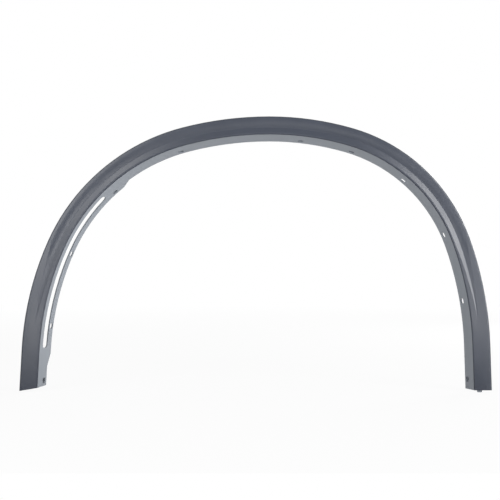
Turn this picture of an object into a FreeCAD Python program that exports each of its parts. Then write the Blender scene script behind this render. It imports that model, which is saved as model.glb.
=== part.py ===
import FreeCAD, Part
import math
import os

os.makedirs("parts", exist_ok=True)

# Outer edge, seen from the face side: three arcs from the crown down each leg, then a straight
right_crown_radius = 565.0
right_crown_angle = 16.1
right_shoulder_radius = 331.0
right_shoulder_angle = 54.0
right_leg_radius = 658.0
right_leg_angle = 18.0
right_straight = 84.5
left_crown_radius = 654.0
left_crown_angle = 14.5
left_shoulder_radius = 381.0
left_shoulder_angle = 51.4
left_leg_radius = 576.0
left_leg_angle = 20.9
left_straight = 78.5

# Moulded section: outer wall, rounded edge, slightly crowned face, rounded lip and raked flange
wall = 2.5
outer_wall_height = 10.0
outer_wall_draft = 3.0
edge_radius = 3.5
face_width = 28.2
face_outer_tilt = 4.0
face_inner_tilt = 2.0
lip_radius = 3.0
flange_rake = 68.0
flange_length = 28.5
flange_edge_chamfer = 0.7

# Crease along the face: a long outer slope, a rounded valley and a kicked-out lip
crease_start = 6.6
crease_level = 13.6
crease_slope_radius = 40.0
crease_slope_angle = 20.0
crease_valley_radius = 3.0
crease_lip_angle = 17.0
crease_lip_length = 9.0
crease_run_out = 4.0

# Wide stretch of the flange on the left leg, with its long slot
wide_flange_length = 39.0
wide_top = 310.0
wide_top_chamfer = 16.0
wide_straight = 6.0
wide_taper = 26.0
slot_top = 372.0
slot_bottom = 714.0
slot_near_edge = 10.0
slot_width = 15.0

# Fixing holes in the flange
hole_length = 11.0
hole_width = 8.0
collar_wall = 1.6
collar_height = 5.0
end_hole_inset = 20.0

# Leg ends
left_end_slope = 9.5
end_wall = 2.5
tab_inset = 23.0
tab_width = 9.0
tab_drop = 4.5
tab_thickness = 3.0
tab_setback = 8.0
tab_corner_radius = 2.0

# Clip seats behind the face, in level pairs at these drops below the crown
clip_drops = (24.0, 82.0, 300.0, 432.0)
clip_hole_diameter = 8.0
clip_neck = 5.4
clip_centre = 14.5
clip_seat_width = 16.0
clip_seat_length = 18.0
clip_plate = 2.0
clip_plate_setback = 2.0
clip_wall = 1.6

# Cross ribs behind the face
rib_stations = (-630.0, -430.0, -230.0, 0.0, 220.0, 400.0, 625.0)
rib_thickness = 1.5
rib_setback = 3.0

# How far the legs run past their ends before trimming
overrun = 12.0

crown = FreeCAD.Vector(0, 0, wall / 2)
forward = FreeCAD.Vector(0, -1, 0)
rake = math.radians(flange_rake)
wall_heading = math.radians(90 - outer_wall_draft)
right_arcs = (
    (right_crown_radius, math.radians(right_crown_angle)),
    (right_shoulder_radius, math.radians(right_shoulder_angle)),
    (right_leg_radius, math.radians(right_leg_angle)),
)
left_arcs = (
    (left_crown_radius, math.radians(left_crown_angle)),
    (left_shoulder_radius, math.radians(left_shoulder_angle)),
    (left_leg_radius, math.radians(left_leg_angle)),
)

# Ends of the arcs on each side, as lengths along the outer edge from the crown
right_crown_end = right_crown_radius * math.radians(right_crown_angle)
right_shoulder_end = right_crown_end + right_shoulder_radius * math.radians(right_shoulder_angle)
right_leg_end = right_shoulder_end + right_leg_radius * math.radians(right_leg_angle)
right_end = right_leg_end + right_straight
left_crown_end = left_crown_radius * math.radians(left_crown_angle)
left_shoulder_end = left_crown_end + left_shoulder_radius * math.radians(left_shoulder_angle)
left_leg_end = left_shoulder_end + left_leg_radius * math.radians(left_leg_angle)
left_end = left_leg_end + left_straight

# Fixing holes: station, distance down the flange, and whether a collar stands behind
flange_holes = (
    (-left_end + end_hole_inset, 20.0, True),
    (-669.0, 32.0, False),
    (-514.0, 32.0, False),
    (-349.0, 31.0, True),
    (-182.0, 20.5, True),
    (64.0, 20.0, True),
    (172.0, 20.5, True),
    (300.0, 19.0, False),
    (448.0, 19.0, False),
    (588.0, 19.0, False),
    (right_end - end_hole_inset, 20.0, True),
)


def edge_frame(station):
    """A point on the outer edge, the way inward and the way along; stations grow rightwards."""
    side = 1 if station >= 0 else -1
    rest = abs(station)
    turned = 0.0
    x = 0.0
    drop = 0.0
    for radius, angle in right_arcs if side > 0 else left_arcs:
        step = min(rest / radius, angle)
        x += radius * (math.sin(turned + step) - math.sin(turned))
        drop += radius * (math.cos(turned) - math.cos(turned + step))
        turned += step
        rest -= step * radius
    x += rest * math.cos(turned)
    drop += rest * math.sin(turned)
    point = crown + FreeCAD.Vector(side * x, 0, -drop)
    inward = FreeCAD.Vector(-side * math.sin(turned), 0, -math.cos(turned))
    along = FreeCAD.Vector(math.cos(turned), 0, -side * math.sin(turned))
    return point, inward, along


def place(station, u, v):
    """A point u inward of the outer edge and v forward of the seat plane."""
    point, inward, along = edge_frame(station)
    return point + inward * u + forward * v


def front_moves(reach):
    """The front skin as lines (length, 0) and arcs (radius, turn), from the seat down the flange."""
    outer_tilt = math.radians(face_outer_tilt)
    inner_tilt = math.radians(face_inner_tilt)
    face_radius = face_width / (math.sin(outer_tilt) + math.sin(inner_tilt))
    return [
        (outer_wall_height, 0),
        (edge_radius, outer_tilt - wall_heading),
        (face_radius, -inner_tilt - outer_tilt),
        (lip_radius, inner_tilt - rake),
        (reach, 0),
    ]


def crease_moves():
    """The crease from its outer start to the top of the lip."""
    slope = math.radians(crease_slope_angle)
    lip = math.radians(crease_lip_angle)
    return [
        (crease_slope_radius, -slope),
        (crease_valley_radius, slope + lip),
        (crease_lip_length, 0),
    ]


def inset(moves, depth):
    """The same moves for a skin lying this deep behind."""
    return [(size + math.copysign(depth, turn) if turn else size, turn) for size, turn in moves]


def trace(start, heading, moves):
    """The runs of a chain of moves in the section plane: two points for a line, three for an arc."""
    u, v = start
    runs = []
    for size, turn in moves:
        if turn:
            lean = math.copysign(size, turn)
            centre_u = u - lean * math.sin(heading)
            centre_v = v + lean * math.cos(heading)
            run = [
                (centre_u + lean * math.sin(heading + part), centre_v - lean * math.cos(heading + part))
                for part in (0, turn / 2, turn)
            ]
        else:
            run = [(u, v), (u + size * math.cos(heading), v + size * math.sin(heading))]
        runs.append(run)
        u, v = run[-1]
        heading += turn
    return runs


def join(runs, corners=()):
    """The runs as a closed outline, through these corners on the way back to the start."""
    points = [runs[-1][-1], *corners, runs[0][0]]
    return runs + [[first, last] for first, last in zip(points[:-1], points[1:])]


def chord(run):
    """A run drawn as one straight line."""
    return [run[0], run[-1]]


def wall_outline(reach):
    """The moulded wall: front skin, flange edge, back skin with straight inside corners, and seat."""
    front = front_moves(reach - flange_edge_chamfer)
    corner = (flange_edge_chamfer, -math.pi / 2)
    back = [(size, -turn) for size, turn in reversed(inset(front, wall))]
    back[-1] = (outer_wall_height - wall / math.tan(wall_heading), 0)
    edge = [corner, (wall - 2 * flange_edge_chamfer, 0), corner]
    runs = trace((0.0, 0.0), wall_heading, front + edge + back)
    flange, lip, face, shoulder, inner_wall = runs[-5:]
    skin = runs[:5] + [chord(run) for run in runs[5:8]]
    return join(skin + [flange, chord(lip), chord(face), chord(shoulder), inner_wall])


def core_outline(setback):
    """The space behind the face, from the middle of the wall to this far forward of the seat."""
    moves = inset(front_moves(1.0), wall / 2)
    moves[0] = (outer_wall_height - wall / 2 / math.tan(wall_heading) - setback / math.sin(wall_heading), 0)
    start = (wall / 2 / math.sin(wall_heading) + setback / math.tan(wall_heading), setback)
    depth = trace(start, wall_heading, moves)[-1][0][1] - setback
    moves[-1] = (depth / math.sin(rake), 0)
    return join(trace(start, wall_heading, moves))


def groove_outline():
    """What the crease takes out of the face."""
    runs = trace((crease_start, crease_level), 0.0, crease_moves())
    top = crease_level + edge_radius
    return join(runs, [(runs[-1][-1][0], top), (crease_start, top)])


def backing_outline():
    """What keeps the wall whole behind the crease."""
    runs = trace((crease_start, crease_level - wall), 0.0, inset(crease_moves(), wall))
    middle = crease_level - wall / 2
    return join([chord(run) for run in runs], [(runs[-1][-1][0], middle), (crease_start, middle)])


def section_face(station, outline):
    """An outline as a flat face across the trim at a station."""
    edges = []
    for run in outline:
        points = [place(station, u, v) for u, v in run]
        curve = Part.Arc(*points) if len(points) == 3 else Part.LineSegment(*points)
        edges.append(curve.toShape())
    return Part.Face(Part.Wire(edges))


def turned_run(outline, first, last, radius, climb=0.0):
    """An outline carried along one arc of the outer edge, moving forward by climb as it goes."""
    point, inward, along = edge_frame(first)
    heading = along + forward * (climb / (last - first))
    axis = heading.cross(inward).normalize()
    angle = math.degrees((last - first) / radius)
    return section_face(first, outline).revolve(point + inward * radius, axis, angle)


def straight_run(outline, first, last):
    """An outline carried along a straight of the outer edge."""
    along = edge_frame(first)[2]
    return section_face(first, outline).extrude(along * (last - first))


def slice_at(station, outline, length):
    """A slice of an outline centred on a station."""
    along = edge_frame(station)[2]
    return section_face(station, outline).translated(along * (-length / 2)).extrude(along * length)


def rectangle(u_range, v_range):
    """A rectangle in the section plane, as an outline."""
    near, far = u_range
    low, high = v_range
    corners = [(near, low), (far, low), (far, high), (near, high)]
    return [[first, last] for first, last in zip(corners, corners[1:] + corners[:1])]


def flange_point(reach, out):
    """A point this far down the flange and this far out of its visible side, in the section plane."""
    u, v = trace((0.0, 0.0), wall_heading, front_moves(reach))[-1][-1]
    return u + out * math.sin(rake), v + out * math.cos(rake)


def flange_frame(station, reach):
    """A point on the visible side of the flange, the direction down it and the direction out of it."""
    inward = edge_frame(station)[1]
    down = inward * math.cos(rake) - forward * math.sin(rake)
    out = inward * math.sin(rake) + forward * math.cos(rake)
    return place(station, *flange_point(reach, 0.0)), down, out


def flange_prism(station, corners, depth):
    """A prism through the flange; corners are lengths along the arch and down the flange."""
    along = edge_frame(station)[2]
    origin, down, out = flange_frame(station, 0.0)
    points = [origin + along * s + down * w + out * depth for s, w in corners]
    return Part.Face(Part.makePolygon(points + points[:1])).extrude(out * (-2 * depth - wall))


def oblong(station, reach, length, width, front, back):
    """A round-ended prism through the flange, from this far in front of it to this far behind."""
    centre, down, out = flange_frame(station, reach)
    along = edge_frame(station)[2]
    half = along * ((length - width) / 2)
    side = down * (width / 2)
    tip = along * (length / 2)
    middle = centre + out * front
    edges = [
        Part.LineSegment(middle - half + side, middle + half + side).toShape(),
        Part.Arc(middle + half + side, middle + tip, middle + half - side).toShape(),
        Part.LineSegment(middle + half - side, middle - half - side).toShape(),
        Part.Arc(middle - half - side, middle - tip, middle - half + side).toShape(),
    ]
    return Part.Face(Part.Wire(edges)).extrude(out * (-front - back))


def long_slot():
    """The cutters of the long slot: a strip down the shoulder and the leg, with a round at each end."""
    radius = slot_width / 2
    depth = 2 * wall
    near = slot_near_edge
    far = slot_near_edge + slot_width
    front = [flange_point(near, depth), flange_point(far, depth)]
    back = [flange_point(far, -depth), flange_point(near, -depth)]
    strip = join([front], back)
    top = -slot_top - radius
    bottom = -slot_bottom + radius
    cutters = [
        turned_run(strip, -left_shoulder_end, top, left_shoulder_radius),
        turned_run(strip, bottom, -left_shoulder_end, left_leg_radius),
    ]
    for station in (top, bottom):
        centre, down, out = flange_frame(station, near + radius)
        cutters.append(Part.makeCylinder(radius, 2 * depth, centre - out * depth, out))
    return cutters


def wide_stretch_ends():
    """The cutters that slope both ends of the wide stretch back to the narrow flange."""
    clear = 2 * wide_flange_length
    upper = [
        (0, flange_length),
        (-wide_top_chamfer, wide_flange_length),
        (-wide_top_chamfer, clear),
        (overrun, clear),
        (overrun, flange_length),
    ]
    foot = left_straight + 2 * overrun
    lower = [
        (0, wide_flange_length),
        (-wide_taper, flange_length),
        (-foot, flange_length),
        (-foot, clear),
        (0, clear),
    ]
    return [
        flange_prism(-wide_top, upper, wall),
        flange_prism(-left_leg_end - wide_straight, lower, wall),
    ]


def end_block(station, slope, lift):
    """Everything below a leg's end plane, raised by lift; the plane climbs inward at the slope."""
    point = edge_frame(station)[0]
    size = 200.0
    corner = FreeCAD.Vector(point.x - size / 2, -size / 2, point.z - size + lift)
    shape = Part.makeBox(size, size, size, corner)
    shape.rotate(point, FreeCAD.Vector(0, 1, 0), math.copysign(slope, station))
    return shape


def clip_station(side, drop):
    """The station on one side where a clip's centre lies this far below the crown."""
    low = 0.0
    high = right_end if side > 0 else left_end
    for halving in range(40):
        middle = (low + high) / 2
        if crown.z - place(side * middle, clip_centre, 0).z < drop:
            low = middle
        else:
            high = middle
    return side * low


def clip_seat(station):
    """A clip seat behind the face: three walls that carry a plate with a keyhole open towards the flange."""
    near = clip_centre - clip_seat_width / 2
    far = clip_centre + clip_seat_width / 2
    back = clip_plate_setback
    top = outer_wall_height + 2 * edge_radius
    shift = edge_frame(station)[2] * ((clip_seat_length - clip_wall) / 2)
    side_wall = slice_at(station, rectangle((near, far), (0.0, top)), clip_wall)
    end = slice_at(station, rectangle((near, near + clip_wall), (0.0, top)), clip_seat_length)
    walls = end.multiFuse([side_wall.translated(shift), side_wall.translated(shift * -1)])
    walls = walls.common(slice_at(station, core_outline(back), clip_seat_length))
    plate = slice_at(station, rectangle((near, far), (back, back + clip_plate)), clip_seat_length)
    neck = slice_at(station, rectangle((clip_centre, far + 1), (back - 1, back + clip_plate + 1)), clip_neck)
    foot = place(station, clip_centre, back - 1)
    bore = Part.makeCylinder(clip_hole_diameter / 2, clip_plate + 2, foot, forward)
    return walls.fuse(plate).cut([neck, bore])


def locating_tab():
    """The small tab below the right leg's end, with its two lower corners rounded."""
    end = edge_frame(right_end)[0]
    left = end.x - tab_inset - tab_width / 2
    corner = FreeCAD.Vector(left, -tab_setback, end.z - tab_drop)
    tab = Part.makeBox(tab_width, tab_thickness, tab_drop + end_wall, corner)
    lower = [edge for edge in tab.Edges if edge.BoundBox.YLength > 0 and edge.BoundBox.ZMax < end.z]
    lower = [edge for edge in lower if edge.BoundBox.XLength < 1e-6 and edge.BoundBox.ZLength < 1e-6]
    return tab.makeFillet(tab_corner_radius, lower)


# Wall of the moulding, run by run from the left end to the right end
narrow = wall_outline(flange_length)
wide = wall_outline(wide_flange_length)
runs = [
    straight_run(wide, -left_end - overrun, -left_leg_end),
    turned_run(wide, -left_leg_end, -left_shoulder_end, left_leg_radius),
    turned_run(wide, -left_shoulder_end, -wide_top, left_shoulder_radius),
    turned_run(narrow, -wide_top, -left_crown_end, left_shoulder_radius),
    turned_run(narrow, -left_crown_end, 0.0, left_crown_radius),
    turned_run(narrow, 0.0, right_crown_end, right_crown_radius),
    turned_run(narrow, right_crown_end, right_shoulder_end, right_shoulder_radius),
    turned_run(narrow, right_shoulder_end, right_leg_end, right_leg_radius),
    straight_run(narrow, right_leg_end, right_end + overrun),
]
trim = runs[0].multiFuse(runs[1:]).removeSplitter()


def crease_runs(outline, climb):
    """An outline carried along the crease, moving forward by climb down the arc of each leg."""
    return [
        turned_run(outline, -left_shoulder_end, -left_leg_end, left_leg_radius, climb),
        turned_run(outline, -left_shoulder_end, -left_crown_end, left_shoulder_radius),
        turned_run(outline, -left_crown_end, 0.0, left_crown_radius),
        turned_run(outline, 0.0, right_crown_end, right_crown_radius),
        turned_run(outline, right_crown_end, right_shoulder_end, right_shoulder_radius),
        turned_run(outline, right_shoulder_end, right_leg_end, right_leg_radius, climb),
    ]


# Backing of the crease, ribs, clip seats, end walls and hole collars behind the face
cores = crease_runs(core_outline(rib_setback), 0.0)
backings = crease_runs(backing_outline(), crease_run_out)
inside = [backing.common(core) for backing, core in zip(backings, cores)]
inside += [slice_at(station, core_outline(rib_setback), rib_thickness) for station in rib_stations]
inside += [clip_seat(clip_station(side, drop)) for drop in clip_drops for side in (-1, 1)]
for station, slope in ((-left_end, left_end_slope), (right_end, 0.0)):
    filling = slice_at(station, core_outline(0.0), 2 * overrun)
    inside.append(filling.common(end_block(station, slope, end_wall)))
for station, reach, collared in flange_holes:
    if collared:
        length = hole_length + 2 * collar_wall
        width = hole_width + 2 * collar_wall
        inside.append(oblong(station, reach, length, width, -wall / 2, wall + collar_height))
trim = trim.multiFuse(inside)

# Crease, holes, slot, ends of the wide stretch and leg ends
cutters = crease_runs(groove_outline(), crease_run_out)
for station, reach, collared in flange_holes:
    cutters.append(oblong(station, reach, hole_length, hole_width, wall, 2 * wall + collar_height))
cutters += long_slot()
cutters += wide_stretch_ends()
cutters.append(end_block(-left_end, left_end_slope, 0.0))
cutters.append(end_block(right_end, 0.0, 0.0))
trim = trim.cut(cutters)
trim = trim.fuse(locating_tab()).removeSplitter().Solids[0]

trim.exportStep("parts/arch_trim.step")
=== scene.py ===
import math

import bpy
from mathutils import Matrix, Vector


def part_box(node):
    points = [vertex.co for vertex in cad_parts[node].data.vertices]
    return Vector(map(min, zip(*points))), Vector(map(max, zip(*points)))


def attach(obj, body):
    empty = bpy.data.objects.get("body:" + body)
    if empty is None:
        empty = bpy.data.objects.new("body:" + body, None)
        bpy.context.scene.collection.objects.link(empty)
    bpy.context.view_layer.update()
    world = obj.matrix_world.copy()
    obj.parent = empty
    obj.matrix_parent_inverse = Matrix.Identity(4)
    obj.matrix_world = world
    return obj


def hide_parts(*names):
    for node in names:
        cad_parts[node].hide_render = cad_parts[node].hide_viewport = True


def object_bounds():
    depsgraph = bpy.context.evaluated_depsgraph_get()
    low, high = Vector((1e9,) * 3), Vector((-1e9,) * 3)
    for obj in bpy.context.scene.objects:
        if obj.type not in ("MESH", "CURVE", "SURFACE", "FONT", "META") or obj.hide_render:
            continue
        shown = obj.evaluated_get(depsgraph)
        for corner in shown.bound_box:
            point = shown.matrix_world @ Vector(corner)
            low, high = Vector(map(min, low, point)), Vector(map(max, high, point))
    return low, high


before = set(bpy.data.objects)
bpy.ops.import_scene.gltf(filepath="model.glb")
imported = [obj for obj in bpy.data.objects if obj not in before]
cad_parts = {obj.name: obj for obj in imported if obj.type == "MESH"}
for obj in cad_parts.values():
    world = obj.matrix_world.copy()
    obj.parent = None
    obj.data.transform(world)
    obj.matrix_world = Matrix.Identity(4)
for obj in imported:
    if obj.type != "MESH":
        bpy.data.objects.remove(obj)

bl_info = {
    "name": "Wheel-arch trim",
    "version": (1, 0, 0),
    "blender": (4, 5, 0),
    "location": "3D View > Sidebar > Arch Trim",
    "description": "Dresses a moulded wheel-arch trim and stands it on a pale studio floor",
    "category": "Object",
}

CAD_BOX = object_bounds()
MM = 0.001
WHITE = (1.0, 1.0, 1.0, 1.0)

# Polypropylene, and the width of the faint marks that it leaves as it flows into the mould
PLASTIC_IOR = 1.49
FACE_FLOW_MARK = 60 * MM
BACK_FLOW_MARK = 30 * MM

# Grained faces lie forward of this level and look forward, or look away from the wheel
GRAIN_LEVEL = -9.5 * MM
LOOKS_FORWARD = 0.3
LOOKS_OUTWARD = 0.9
MERGE_DISTANCE = 0.005 * MM

# Floor: the share of white that the camera and reflections see in its paint,
# and how far from the crown of the arch it fades into the white room
FLOOR_SIZE = 8.0
FLOOR_FRONT = -0.7
FLOOR_COLOUR = "#e0e0e0"
FLOOR_WHITE = 0.94
FLOOR_MIRROR_WHITE = 0.5
FLOOR_FADE_START = 0.7
FLOOR_FADE_END = 3.0

# Below the horizon the room darkens to this level, at this height of a ray's direction
DARK_LEVEL = 0.1
DARK_DIRECTION = -0.3

# The smaller card's share of the card power, and the sensor's width in millimetres
LEFT_CARD_SHARE = 0.45
SENSOR_WIDTH = 36.0


def linear(hex_colour):
    """An sRGB hex colour as linear red, green and blue."""
    channels = [int(hex_colour[i : i + 2], 16) / 255 for i in (1, 3, 5)]
    return tuple(c / 12.92 if c <= 0.04045 else ((c + 0.055) / 1.055) ** 2.4 for c in channels)


def add_node(tree, kind, inputs=None, **settings):
    """A node with its settings; each input is a value, or a socket to link from."""
    node = tree.nodes.new(kind)
    for name, value in settings.items():
        setattr(node, name, value)
    for name, value in (inputs or {}).items():
        if isinstance(value, bpy.types.NodeSocket):
            tree.links.new(value, node.inputs[name])
        else:
            node.inputs[name].default_value = value
    return node


def new_material(name):
    """An empty node material and its output node."""
    material = bpy.data.materials.new(name)
    material.use_nodes = True
    tree = material.node_tree
    tree.nodes.clear()
    return material, tree, add_node(tree, "ShaderNodeOutputMaterial")


class TrimFinish(bpy.types.PropertyGroup):
    """What a user would change on the trim itself."""

    face_colour: bpy.props.FloatVectorProperty(
        name="Face colour",
        description="Mass-coloured plastic of the grained face",
        subtype="COLOR",
        size=3,
        min=0.0,
        max=1.0,
        default=linear("#2e333e"),
    )
    # The same plastic as the face, painted paler as painted light: it stands in for the light that the
    # flange catches
    back_colour_painted_light: bpy.props.FloatVectorProperty(
        name="Back colour",
        description="The same plastic where the mould was left smooth",
        subtype="COLOR",
        size=3,
        min=0.0,
        max=1.0,
        default=linear("#858a91"),
    )
    grain_size: bpy.props.FloatProperty(
        name="Grain size",
        description="Width of one pebble of the moulded grain",
        unit="LENGTH",
        default=1.4 * MM,
        min=0.2 * MM,
    )
    grain_depth: bpy.props.FloatProperty(
        name="Grain depth",
        description="Height of the moulded grain",
        unit="LENGTH",
        default=0.018 * MM,
        min=0.0,
    )
    smooth_angle: bpy.props.FloatProperty(
        name="Smooth angle",
        description="Moulded faces that meet at less than this angle shade as one surface",
        subtype="ANGLE",
        default=math.radians(9),
    )


class TrimStudio(bpy.types.PropertyGroup):
    """The studio round the trim."""

    camera_distance: bpy.props.FloatProperty(
        name="Camera distance",
        description="From the lens to the face of the trim",
        unit="LENGTH",
        default=1.9017,
    )
    camera_aim: bpy.props.FloatVectorProperty(
        name="Camera aim",
        description="Where the level camera looks, across and up",
        subtype="TRANSLATION",
        size=2,
        default=(-0.0365, -0.250),
    )
    lens: bpy.props.FloatProperty(
        name="Lens",
        description="Focal length on a 36 mm sensor",
        unit="CAMERA",
        default=73.13,
    )
    key_power: bpy.props.FloatProperty(
        name="Key power",
        description="Large soft light from the right",
        unit="POWER",
        default=49.0,
    )
    fill_power: bpy.props.FloatProperty(
        name="Fill power",
        description="Weaker soft light from the upper left",
        unit="POWER",
        default=17.0,
    )
    card_power: bpy.props.FloatProperty(
        name="Card power",
        description="Low bright cards far in front, the larger one on the right",
        unit="POWER",
        default=31.0,
    )
    back_power: bpy.props.FloatProperty(
        name="Back power",
        description="Soft light from behind on the right",
        unit="POWER",
        default=26.0,
    )
    room_level: bpy.props.FloatProperty(
        name="Room level",
        description="Brightness of the pale room all round",
        subtype="FACTOR",
        min=0.0,
        max=1.0,
        default=0.08,
    )


def grained_plastic(finish):
    """Talc-filled polypropylene, moulded against an etched tool.

    The eye sees a dull dark grey with a soft broad sheen, broken by a fine pebble grain."""
    material, tree, output = new_material("grained_polypropylene")
    place = add_node(tree, "ShaderNodeTexCoord").outputs["Object"]
    # Real pebbles are well under 1 mm wide, too fine to show here, so they are drawn coarser
    grain = add_node(
        tree,
        "ShaderNodeTexVoronoi",
        {"Vector": place, "Scale": 1 / finish.grain_size, "Randomness": 1.0},
        feature="SMOOTH_F1",
    )
    flow = add_node(
        tree,
        "ShaderNodeTexNoise",
        {"Vector": place, "Scale": 1 / FACE_FLOW_MARK, "Detail": 3.0},
    )
    sheen = add_node(
        tree,
        "ShaderNodeMapRange",
        {"Value": flow.outputs["Fac"], "From Min": 0.3, "From Max": 0.7, "To Min": 0.3, "To Max": 0.37},
    )
    shade = add_node(
        tree,
        "ShaderNodeMapRange",
        {"Value": flow.outputs["Fac"], "From Min": 0.3, "From Max": 0.7, "To Min": 0.96, "To Max": 1.04},
    )
    colour = add_node(
        tree,
        "ShaderNodeVectorMath",
        {"Vector": tuple(finish.face_colour), "Scale": shade.outputs["Result"]},
        operation="SCALE",
    )
    bump = add_node(
        tree,
        "ShaderNodeBump",
        {"Height": grain.outputs["Distance"], "Distance": finish.grain_depth, "Strength": 1.0},
    )
    shader = add_node(
        tree,
        "ShaderNodeBsdfPrincipled",
        {
            "Base Color": colour.outputs["Vector"],
            "Roughness": sheen.outputs["Result"],
            "IOR": PLASTIC_IOR,
            "Normal": bump.outputs["Normal"],
        },
    )
    tree.links.new(shader.outputs["BSDF"], output.inputs["Surface"])
    return material


def smooth_plastic_painted_light(finish):
    """The same polypropylene, moulded against a plain machined tool.

    The eye sees a smoother grey with faint flow marks. It is painted paler than the grained face as painted
    light, standing in for the light that the back and the flange catch."""
    material, tree, output = new_material("smooth_polypropylene_painted_light")
    place = add_node(tree, "ShaderNodeTexCoord").outputs["Object"]
    flow = add_node(
        tree,
        "ShaderNodeTexNoise",
        {"Vector": place, "Scale": 1 / BACK_FLOW_MARK, "Detail": 4.0},
    )
    sheen = add_node(
        tree,
        "ShaderNodeMapRange",
        {"Value": flow.outputs["Fac"], "From Min": 0.3, "From Max": 0.7, "To Min": 0.34, "To Max": 0.42},
    )
    shader = add_node(
        tree,
        "ShaderNodeBsdfPrincipled",
        {
            # Painted light: this pale base colour stands in for the light that falls on the back and the
            # flange
            "Base Color": (*finish.back_colour_painted_light, 1.0),
            "Roughness": sheen.outputs["Result"],
            "IOR": PLASTIC_IOR,
        },
    )
    tree.links.new(shader.outputs["BSDF"], output.inputs["Surface"])
    return material


def matte_floor():
    """Matte emulsion paint, rolled on.

    The eye sees near white with a soft shadow at the feet of the trim, fading into the white room."""
    material, tree, output = new_material("matte_floor_paint")
    place = add_node(tree, "ShaderNodeTexCoord").outputs["Object"]
    away = add_node(tree, "ShaderNodeVectorMath", {0: place}, operation="LENGTH")
    fade = add_node(
        tree,
        "ShaderNodeMapRange",
        {
            "Value": away.outputs["Value"],
            "From Min": FLOOR_FADE_START,
            "From Max": FLOOR_FADE_END,
            "To Min": FLOOR_WHITE,
            "To Max": 1.0,
        },
    )
    path = add_node(tree, "ShaderNodeLightPath")
    shiny = add_node(
        tree,
        "ShaderNodeMath",
        {0: path.outputs["Is Glossy Ray"], 1: path.outputs["Is Transmission Ray"]},
        operation="MAXIMUM",
    )
    mirrored = add_node(
        tree,
        "ShaderNodeMath",
        {0: shiny.outputs["Value"], 1: FLOOR_MIRROR_WHITE},
        operation="MULTIPLY",
    )
    white_share = add_node(
        tree,
        "ShaderNodeMath",
        {0: path.outputs["Is Camera Ray"], 1: fade.outputs["Result"], 2: mirrored.outputs["Value"]},
        operation="MULTIPLY_ADD",
    )
    paint = add_node(tree, "ShaderNodeBsdfDiffuse", {"Color": (*linear(FLOOR_COLOUR), 1.0)})
    glow = add_node(tree, "ShaderNodeEmission", {"Color": WHITE, "Strength": 1.0})
    mix = add_node(
        tree,
        "ShaderNodeMixShader",
        {0: white_share.outputs["Value"], 1: paint.outputs["BSDF"], 2: glow.outputs["Emission"]},
    )
    tree.links.new(mix.outputs["Shader"], output.inputs["Surface"])
    return material


class TRIM_OT_mould_arch(bpy.types.Operator):
    """Mould the arch: one merged, smooth-shaded skin with a grained face and a smooth back"""

    bl_idname = "trim.mould_arch"
    bl_label = "Mould arch"

    def execute(self, context):
        finish = context.scene.trim_finish
        arch = self.copy_node(context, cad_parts["arch_trim"])
        self.join_faces(finish.smooth_angle)
        bpy.ops.object.shade_smooth(keep_sharp_edges=True)
        even = arch.modifiers.new("even_shading", "WEIGHTED_NORMAL")
        even.mode = "FACE_AREA_WITH_ANGLE"
        even.keep_sharp = True
        bpy.ops.object.modifier_apply(modifier=even.name)
        self.give_finishes(arch.data, finish)
        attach(arch, "root")
        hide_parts("arch_trim")
        return {"FINISHED"}

    def copy_node(self, context, node):
        """A copy of the CAD node as a piece of its own, without the node's parent and marks."""
        bpy.ops.object.select_all(action="DESELECT")
        node.select_set(True)
        context.view_layer.objects.active = node
        bpy.ops.object.duplicate()
        arch = context.view_layer.objects.active
        arch.name = "moulded_arch"
        arch.parent = None
        for key in list(arch.keys()):
            del arch[key]
        return arch

    def join_faces(self, angle):
        """Merge the moulded faces into one skin, crisp only where two of them meet at an angle."""
        bpy.ops.object.mode_set(mode="EDIT")
        bpy.ops.mesh.select_mode(type="EDGE")
        bpy.ops.mesh.select_all(action="DESELECT")
        # Before the merge, the open edges are the borders of the moulded faces
        bpy.ops.mesh.select_non_manifold(extend=False)
        bpy.ops.mesh.mark_sharp()
        bpy.ops.mesh.select_all(action="SELECT")
        bpy.ops.mesh.remove_doubles(threshold=MERGE_DISTANCE)
        # A border that is flatter than the angle is no edge to the eye
        bpy.ops.mesh.select_all(action="DESELECT")
        bpy.ops.mesh.edges_select_sharp(sharpness=angle)
        bpy.ops.mesh.select_all(action="INVERT")
        bpy.ops.mesh.mark_sharp(clear=True)
        bpy.ops.object.mode_set(mode="OBJECT")

    def give_finishes(self, mesh, finish):
        """Grained plastic on the face and the outer wall, smooth plastic on the rest, which is painted
        paler there as painted light.
        """
        mesh.materials.clear()
        mesh.materials.append(grained_plastic(finish))
        mesh.materials.append(smooth_plastic_painted_light(finish))
        low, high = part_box("arch_trim")
        wheel = Vector(((low.x + high.x) / 2, 0.0, low.z))
        for polygon in mesh.polygons:
            ray = polygon.center - wheel
            forward = polygon.center.y < GRAIN_LEVEL and polygon.normal.y < -LOOKS_FORWARD
            outward = polygon.normal.dot(ray) > LOOKS_OUTWARD * ray.length
            polygon.material_index = 0 if forward or outward else 1


def soft_light(name, power, size, place, target):
    """A softbox of this width and height at a place, facing a target."""
    lamp = bpy.data.lights.new(name, "AREA")
    lamp.energy = power
    lamp.shape = "RECTANGLE"
    lamp.size, lamp.size_y = size
    lamp_object = bpy.data.objects.new(name, lamp)
    lamp_object.location = place
    lamp_object.rotation_euler = (Vector(target) - Vector(place)).to_track_quat("-Z", "Y").to_euler()
    lamp_object.visible_camera = False
    bpy.context.scene.collection.objects.link(lamp_object)


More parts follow.
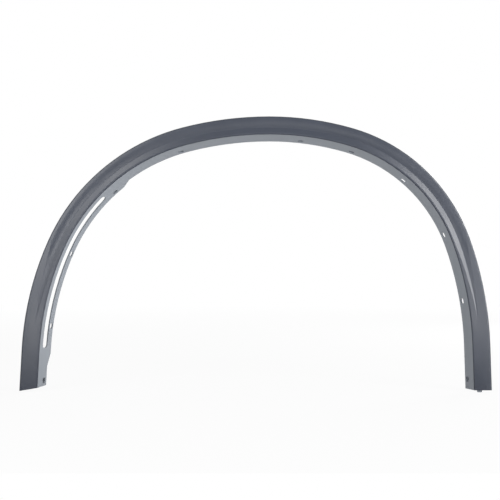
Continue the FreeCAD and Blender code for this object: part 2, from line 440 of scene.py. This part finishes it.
def pale_room(studio):
    """A room that is white to the camera and in reflections, dim as a light, and dark below the horizon."""
    world = bpy.data.worlds.new("pale_room")
    world.use_nodes = True
    tree = world.node_tree
    tree.nodes.clear()
    path = add_node(tree, "ShaderNodeLightPath")
    shiny = add_node(
        tree,
        "ShaderNodeMath",
        {0: path.outputs["Is Glossy Ray"], 1: path.outputs["Is Transmission Ray"]},
        operation="MAXIMUM",
    )
    level = add_node(
        tree,
        "ShaderNodeMapRange",
        {"Value": shiny.outputs["Value"], "To Min": studio.room_level, "To Max": 1.0},
    )
    direction = add_node(tree, "ShaderNodeTexCoord").outputs["Generated"]
    height = add_node(tree, "ShaderNodeSeparateXYZ", {"Vector": direction}).outputs["Z"]
    walls = add_node(
        tree,
        "ShaderNodeMapRange",
        {
            "Value": height,
            "From Min": DARK_DIRECTION,
            "From Max": 0.0,
            "To Min": DARK_LEVEL,
            "To Max": 1.0,
        },
    )
    light = add_node(
        tree,
        "ShaderNodeMath",
        {0: level.outputs["Result"], 1: walls.outputs["Result"]},
        operation="MULTIPLY",
    )
    strength = add_node(
        tree,
        "ShaderNodeMath",
        {0: light.outputs["Value"], 1: path.outputs["Is Camera Ray"]},
        operation="MAXIMUM",
    )
    room = add_node(
        tree,
        "ShaderNodeBackground",
        {"Color": WHITE, "Strength": strength.outputs["Value"]},
    )
    output = add_node(tree, "ShaderNodeOutputWorld")
    tree.links.new(room.outputs["Background"], output.inputs["Surface"])
    return world


class TRIM_OT_set_stage(bpy.types.Operator):
    """Set the pale floor, the soft lights, the white room and the level camera"""

    bl_idname = "trim.set_stage"
    bl_label = "Set stage"

    def execute(self, context):
        studio = context.scene.trim_studio
        low, high = CAD_BOX
        middle = ((low[0] + high[0]) / 2, 0.0, (low[2] + high[2]) / 2)
        self.lay_floor(low[2])
        soft_light("key_right", studio.key_power, (0.8, 1.8), (1.6, -1.4, 0.15), middle)
        soft_light("fill_left", studio.fill_power, (0.8, 1.3), (-1.0, -1.35, 0.26), middle)
        # The crease mirrors the cards, which stand low and too far off to light much else
        left_card_power = LEFT_CARD_SHARE * studio.card_power
        soft_light("card_right", studio.card_power, (0.9, 0.95), (0.97, -3.2, -1.08), middle)
        soft_light("card_left", left_card_power, (0.55, 0.8), (-1.05, -3.2, -0.85), middle)
        soft_light("back_right", studio.back_power, (1.0, 1.0), (1.3, 1.3, 0.1), middle)
        context.scene.world = pale_room(studio)
        self.place_camera(studio, low[1])
        context.scene.view_settings.view_transform = "Standard"
        return {"FINISHED"}

    def lay_floor(self, level):
        """A pale floor at the feet of the legs, reaching far behind the trim."""
        bpy.ops.object.select_all(action="DESELECT")
        centre = (0.0, FLOOR_FRONT + FLOOR_SIZE / 2, level)
        bpy.ops.mesh.primitive_plane_add(size=FLOOR_SIZE, location=centre)
        floor = bpy.context.object
        floor.name = "pale_floor"
        bpy.ops.object.transform_apply(location=True, rotation=True, scale=True)
        floor.data.materials.append(matte_floor())

    def place_camera(self, studio, face_level):
        """A level camera square to the face."""
        camera = bpy.data.cameras.new("level_camera")
        camera.lens = studio.lens
        camera.sensor_width = SENSOR_WIDTH
        holder = bpy.data.objects.new("level_camera", camera)
        across, up = studio.camera_aim
        holder.location = (across, face_level - studio.camera_distance, up)
        holder.rotation_euler = (math.radians(90), 0.0, 0.0)
        bpy.context.scene.collection.objects.link(holder)
        bpy.context.scene.camera = holder


class TRIM_PT_sidebar(bpy.types.Panel):
    """Finishes, studio and steps of the wheel-arch trim"""

    bl_idname = "TRIM_PT_sidebar"
    bl_label = "Wheel-arch trim"
    bl_space_type = "VIEW_3D"
    bl_region_type = "UI"
    bl_category = "Arch Trim"

    def draw(self, context):
        for group in (context.scene.trim_finish, context.scene.trim_studio):
            column = self.layout.column()
            for name in group.__annotations__:
                column.prop(group, name)
        for operator in (TRIM_OT_mould_arch, TRIM_OT_set_stage):
            self.layout.operator(operator.bl_idname)


CLASSES = (TrimFinish, TrimStudio, TRIM_OT_mould_arch, TRIM_OT_set_stage, TRIM_PT_sidebar)


def register():
    for cls in CLASSES:
        bpy.utils.register_class(cls)
    bpy.types.Scene.trim_finish = bpy.props.PointerProperty(type=TrimFinish)
    bpy.types.Scene.trim_studio = bpy.props.PointerProperty(type=TrimStudio)


def unregister():
    del bpy.types.Scene.trim_studio
    del bpy.types.Scene.trim_finish
    for cls in reversed(CLASSES):
        bpy.utils.unregister_class(cls)


def main():
    """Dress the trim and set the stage."""
    register()
    bpy.ops.trim.mould_arch()
    bpy.ops.trim.set_stage()


if __name__ == "__main__":
    main()
